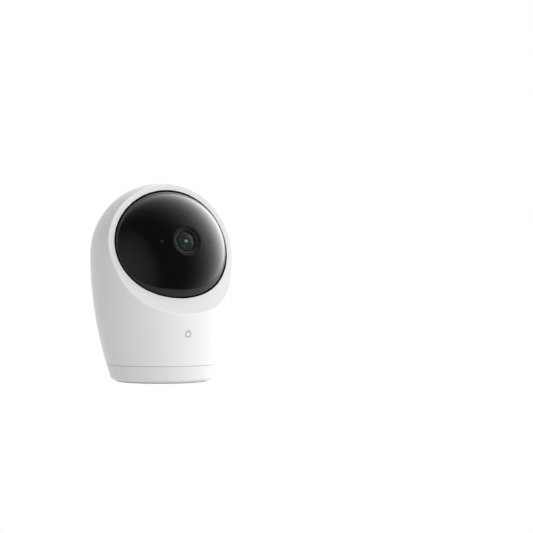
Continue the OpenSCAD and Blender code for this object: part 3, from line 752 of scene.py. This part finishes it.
# Heights are along the ball's Y, which points away from what the lens looks at.
lens = {"outerR": 8.5 * mm, "front": -35.9 * mm, "flangeR": 10.2 * mm, "flange": -33.3 * mm,
        "back": -32.6 * mm,
        "boreR": 5.75 * mm, "outerLipR": 7.95 * mm, "innerLip": (6.85 * mm, 7.45 * mm), "lipDeep": 0.3 * mm,
        "glassR": 5.7 * mm, "bow": 12 * mm, "bowMiddle": -23.6 * mm, "glassBack": -33.6 * mm, "steps": 160}
barrel = {"outerR": 5.6 * mm, "stemR": 5 * mm, "boreR": 4 * mm, "front": -33.3 * mm, "step": -28 * mm,
          "back": -18 * mm, "baffles": 6, "baffleR": 4.8 * mm, "baffleFrom": -32.9 * mm, "narrows": 0.25 * mm,
          "baffleDeep": 0.3 * mm}
innerLens = {"bow": 6.6 * mm, "middle": -23 * mm, "edgeR": 3.95 * mm, "back": -26 * mm, "noseBow": 8 * mm,
             "noseMiddle": -25.6 * mm, "noseR": 1.3 * mm, "noseEnds": (-33.3 * mm, -29.5 * mm)}


def makeBezel():
    o, y = lens["outerR"], lens["front"]
    profile = [(lens["flangeR"], lens["back"]), (lens["flangeR"], lens["flange"]), (o, lens["flange"]),
               (o, y + 0.2 * mm),
               (o - 0.1 * mm, y + 0.02 * mm), (o - 0.25 * mm, y), (8.0 * mm, y + 0.06 * mm),
               (7.85 * mm, y + 0.3 * mm), (7.82 * mm, y + 0.8 * mm), (7.6 * mm, y + 0.8 * mm),
               (7.4 * mm, y + 0.45 * mm), (7.15 * mm, y + 0.33 * mm), (6.9 * mm, y + 0.42 * mm),
               (6.5 * mm, y + 0.9 * mm), (5.9 * mm, y + 1.25 * mm), (lens["boreR"], y + 1.5 * mm),
               (lens["boreR"], lens["back"]), (lens["flangeR"], lens["back"])]
    bezel = dress(finishMesh(spinProfile(profile, lens["steps"], "Y"), "lensBezel", ballTurn), "lensBlack",
                  "lens_black", "camera_ball", "lens_bezel")
    bezel.data.materials.append(finishes["outerLip"])
    bezel.data.materials.append(finishes["lip"])
    unturn = ballTurn.inverted()
    for face in bezel.data.polygons:
        place = unturn @ face.center
        across = math.hypot(place.x, place.z)
        if place.y < y + lens["lipDeep"] and across > lens["outerLipR"]:
            face.material_index = 1
        elif lens["innerLip"][0] < across < lens["innerLip"][1]:
            # these faces take the lighter grey of the painted highlight ring
            face.material_index = 2


def bowPoints(bow, middle, start, end, count):
    return [(bow * math.sin(a), middle - bow * math.cos(a)) for a in np.linspace(start, end, count)]


def makeGlass():
    r, bow, back = lens["glassR"], lens["bow"], lens["glassBack"]
    profile = [*bowPoints(bow, lens["bowMiddle"], 0, math.asin(r / bow), 20), (r, back),
               *[(across * mm, back) for across in (5.3, 4, 2.6, 1.3, 0)]]
    dress(finishMesh(spinProfile(profile, lens["steps"], "Y"), "frontGlass", ballTurn), "glass", "lens_glass",
          "camera_ball", "lens_glass")


def makeBarrel():
    # The throat steps down in fine baffles.
    b = barrel
    throat = [(b["outerR"], b["step"]), (b["outerR"], b["front"]), (5.2 * mm, b["front"]),
              (b["stemR"], b["baffleFrom"])]
    for k in range(b["baffles"]):
        across, y = b["baffleR"] - k * b["narrows"], b["baffleFrom"] + k * b["baffleDeep"]
        throat += [(across, y), (across, y + b["baffleDeep"])]
    throat += [(3.55 * mm, -30.6 * mm), (b["boreR"], -30.2 * mm), (b["boreR"], b["back"]),
               (b["stemR"], b["back"]), (b["stemR"], b["step"]), (b["outerR"], b["step"])]
    dress(finishMesh(spinProfile(throat, lens["steps"], "Y"), "lensBarrel", ballTurn), "dark", "lens_black",
          "camera_ball", "lens_barrel")


def makeInnerLens():
    # It has a nose that looks out through the iris, and a curved front behind it.
    i = innerLens
    profile = [*bowPoints(i["noseBow"], i["noseMiddle"], 0, 0.158, 8),
               *[(i["noseR"], y) for y in i["noseEnds"]],
               *bowPoints(i["bow"], i["middle"], 0.215, 0.64, 12), (i["edgeR"], i["back"]), (0, i["back"])]
    dress(finishMesh(spinProfile(profile, lens["steps"], "Y"), "innerLens", ballTurn), "innerGlass",
          "lens_glass", "camera_ball", "inner_lens")


makeBezel()
makeGlass()
makeBarrel()
makeInnerLens()
print("lens made")

# The rest keeps its CAD shape and gets its finish here.

finishOf = {"white_shell": "base", "gloss_black": "gloss", "lens_black": "lensBlack",
            "lens_glass": "innerGlass",
            "dark_plastic": "dark", "white_acetal": "acetal", "foot_rubber": "rubber", "steel": "steel",
            "brass": "brass", "heat_sink_metal": "heat", "board": "board", "light_guide": "led",
            "ribbon": "ribbon"}
for part in frame["record"]["subparts"]:
    node = frame["nodes"][part["node"]]
    if not node.hide_render:
        node.data.materials.clear()
        node.data.materials.append(finishes[finishOf[part["material_slot"]]])
print("finishes given")

# Stage: floor, lights, camera

view = {"azimuth": -24.5, "elevation": 1.5, "distance": 1.8, "frameWidth": 0.3072, "right": 0.0605,
        "up": -0.00703}


def viewAxes():
    az, el = math.radians(view["azimuth"]), math.radians(view["elevation"])
    near = Vector((math.sin(az) * math.cos(el), -math.cos(az) * math.cos(el), math.sin(el)))
    right = Vector((math.cos(az), math.sin(az), 0))
    return right, near.cross(right), near


def makeCamera():
    right, up, near = viewAxes()
    data = bpy.data.cameras.new("camera")
    data.sensor_width = 36
    data.lens = 36 * view["distance"] / view["frameWidth"]
    camera = bpy.data.objects.new("camera", data)
    bpy.context.scene.collection.objects.link(camera)
    aim = centre + right * view["right"] + up * view["up"]
    camera.location = centre + near * view["distance"]
    camera.rotation_euler = (aim - camera.location).to_track_quat("-Z", "Y").to_euler()
    data.clip_start = 0.01
    bpy.context.scene.camera = camera


makeCamera()

studio = {"floorSize": 6.0, "whiteBack": 1.0, "floorLight": 0.74}
# Each light is a level, its rise to the right, upwards and towards the camera, and soft sources: where
# one lies (right, up, towards the camera) and its level by the cosine of the angle from there. The last
# glossy source is a small one for the glint in the lens.
mattLight = {"level": 0.94, "rise": (0.48, -0.48, 0.0),
             "sources": (((0.97, 0.0, 0.24), ((0.4, 0.0), (1.0, 1.5))),)}
glossLight = {"level": 0.09, "rise": (0, 0, 0),
              "sources": (((0.624, 0.332, -0.707), ((-0.2, 0.0), (0.1, 0.1), (0.35, 0.33), (0.6, 0.75),
                                                    (0.8, 1.45), (0.9, 2.1), (1.0, 3.2))),
                          ((-0.85, -0.35, 0.40), ((0.5, 0.0), (0.7, 0.14), (0.83, 0.22), (1.0, 0.34))),
                          ((-0.30, 0.20, -0.93), ((0.5, 0.0), (0.95, 0.8))),
                          ((0.714, 0.397, 0.577), ((0.9955, 0.0), (0.9975, 2.0), (1.0, 2.0))))}


def lightField(tree, way, level, rise, sources):
    right, up, near = viewAxes()

    def along(a, b, c):
        dot = addNode(tree, "ShaderNodeVectorMath", {0: way}, operation="DOT_PRODUCT")
        dot.inputs[1].default_value = right * a + up * b + near * c
        return dot.outputs["Value"]

    total = mathNode(tree, "ADD", along(*rise), level)
    for place, stops in sources:
        low, high, most = stops[0][0], stops[-1][0], stops[-1][1]
        share = addNode(tree, "ShaderNodeMapRange", {0: along(*place)}, in_1=low, in_2=high)
        curve = addNode(tree, "ShaderNodeValToRGB", {0: share.outputs[0]})
        curve.color_ramp.interpolation = "LINEAR" if len(stops) > 2 else "EASE"
        elements = curve.color_ramp.elements
        while len(elements) < len(stops):
            elements.new(0.5)
        for element, (cosine, strength) in zip(elements, stops):
            element.position = (cosine - low) / (high - low)
            element.color = (strength / most, strength / most, strength / most, 1)
        total = mathNode(tree, "ADD", mathNode(tree, "MULTIPLY", curve.outputs[0], most), total)
    return total


def makeWorld():
    # The camera sees plain white, matt surfaces get a soft light from the right, and reflections show a
    # dark room with soft lights beside and behind the part
    world = bpy.data.worlds.new("studio")
    bpy.context.scene.world = world
    world.use_nodes = True
    tree = world.node_tree
    tree.nodes.clear()
    way = addNode(tree, "ShaderNodeTexCoord").outputs["Generated"]
    paths = addNode(tree, "ShaderNodeLightPath")
    white = addNode(tree, "ShaderNodeBackground", in_0=grey(1), in_1=studio["whiteBack"])
    diffuse = addNode(tree, "ShaderNodeBackground", {1: lightField(tree, way, **mattLight)}, in_0=grey(1))
    gloss = addNode(tree, "ShaderNodeBackground", {1: lightField(tree, way, **glossLight)}, in_0=grey(1))
    first = addNode(tree, "ShaderNodeMixShader", {0: paths.outputs["Is Glossy Ray"], 1: diffuse.outputs[0],
                                                  2: gloss.outputs[0]})
    last = addNode(tree, "ShaderNodeMixShader", {0: paths.outputs["Is Camera Ray"], 1: first.outputs[0],
                                                 2: white.outputs[0]})
    out = tree.nodes.new("ShaderNodeOutputWorld")
    tree.links.new(last.outputs[0], out.inputs[0])
    bpy.context.scene.view_settings.view_transform = "Standard"


makeWorld()


def makeFloor():
    bm = bmesh.new()
    bmesh.ops.create_grid(bm, x_segments=1, y_segments=1, size=studio["floorSize"] / 2)
    floor = finishMesh(bm, "floor")
    material = bpy.data.materials.new("paleFloor")
    material.use_nodes = True
    tree = material.node_tree
    tree.nodes.clear()
    paths = addNode(tree, "ShaderNodeLightPath")
    plain = addNode(tree, "ShaderNodeEmission", in_0=(1, 1, 1, 1), in_1=1.0)
    bounced = addNode(tree, "ShaderNodeEmission", in_0=(1, 1, 1, 1), in_1=studio["floorLight"])
    mirrored = tree.nodes.new("ShaderNodeBsdfTransparent")
    unseen = addNode(tree, "ShaderNodeMixShader", {0: paths.outputs["Is Glossy Ray"], 1: bounced.outputs[0],
                                                   2: mirrored.outputs[0]})
    mixed = addNode(tree, "ShaderNodeMixShader", {0: paths.outputs["Is Camera Ray"], 1: unseen.outputs[0],
                                                  2: plain.outputs[0]})
    out = tree.nodes.new("ShaderNodeOutputMaterial")
    tree.links.new(mixed.outputs[0], out.inputs[0])
    floor.data.materials.append(material)


makeFloor()
print("stage set")
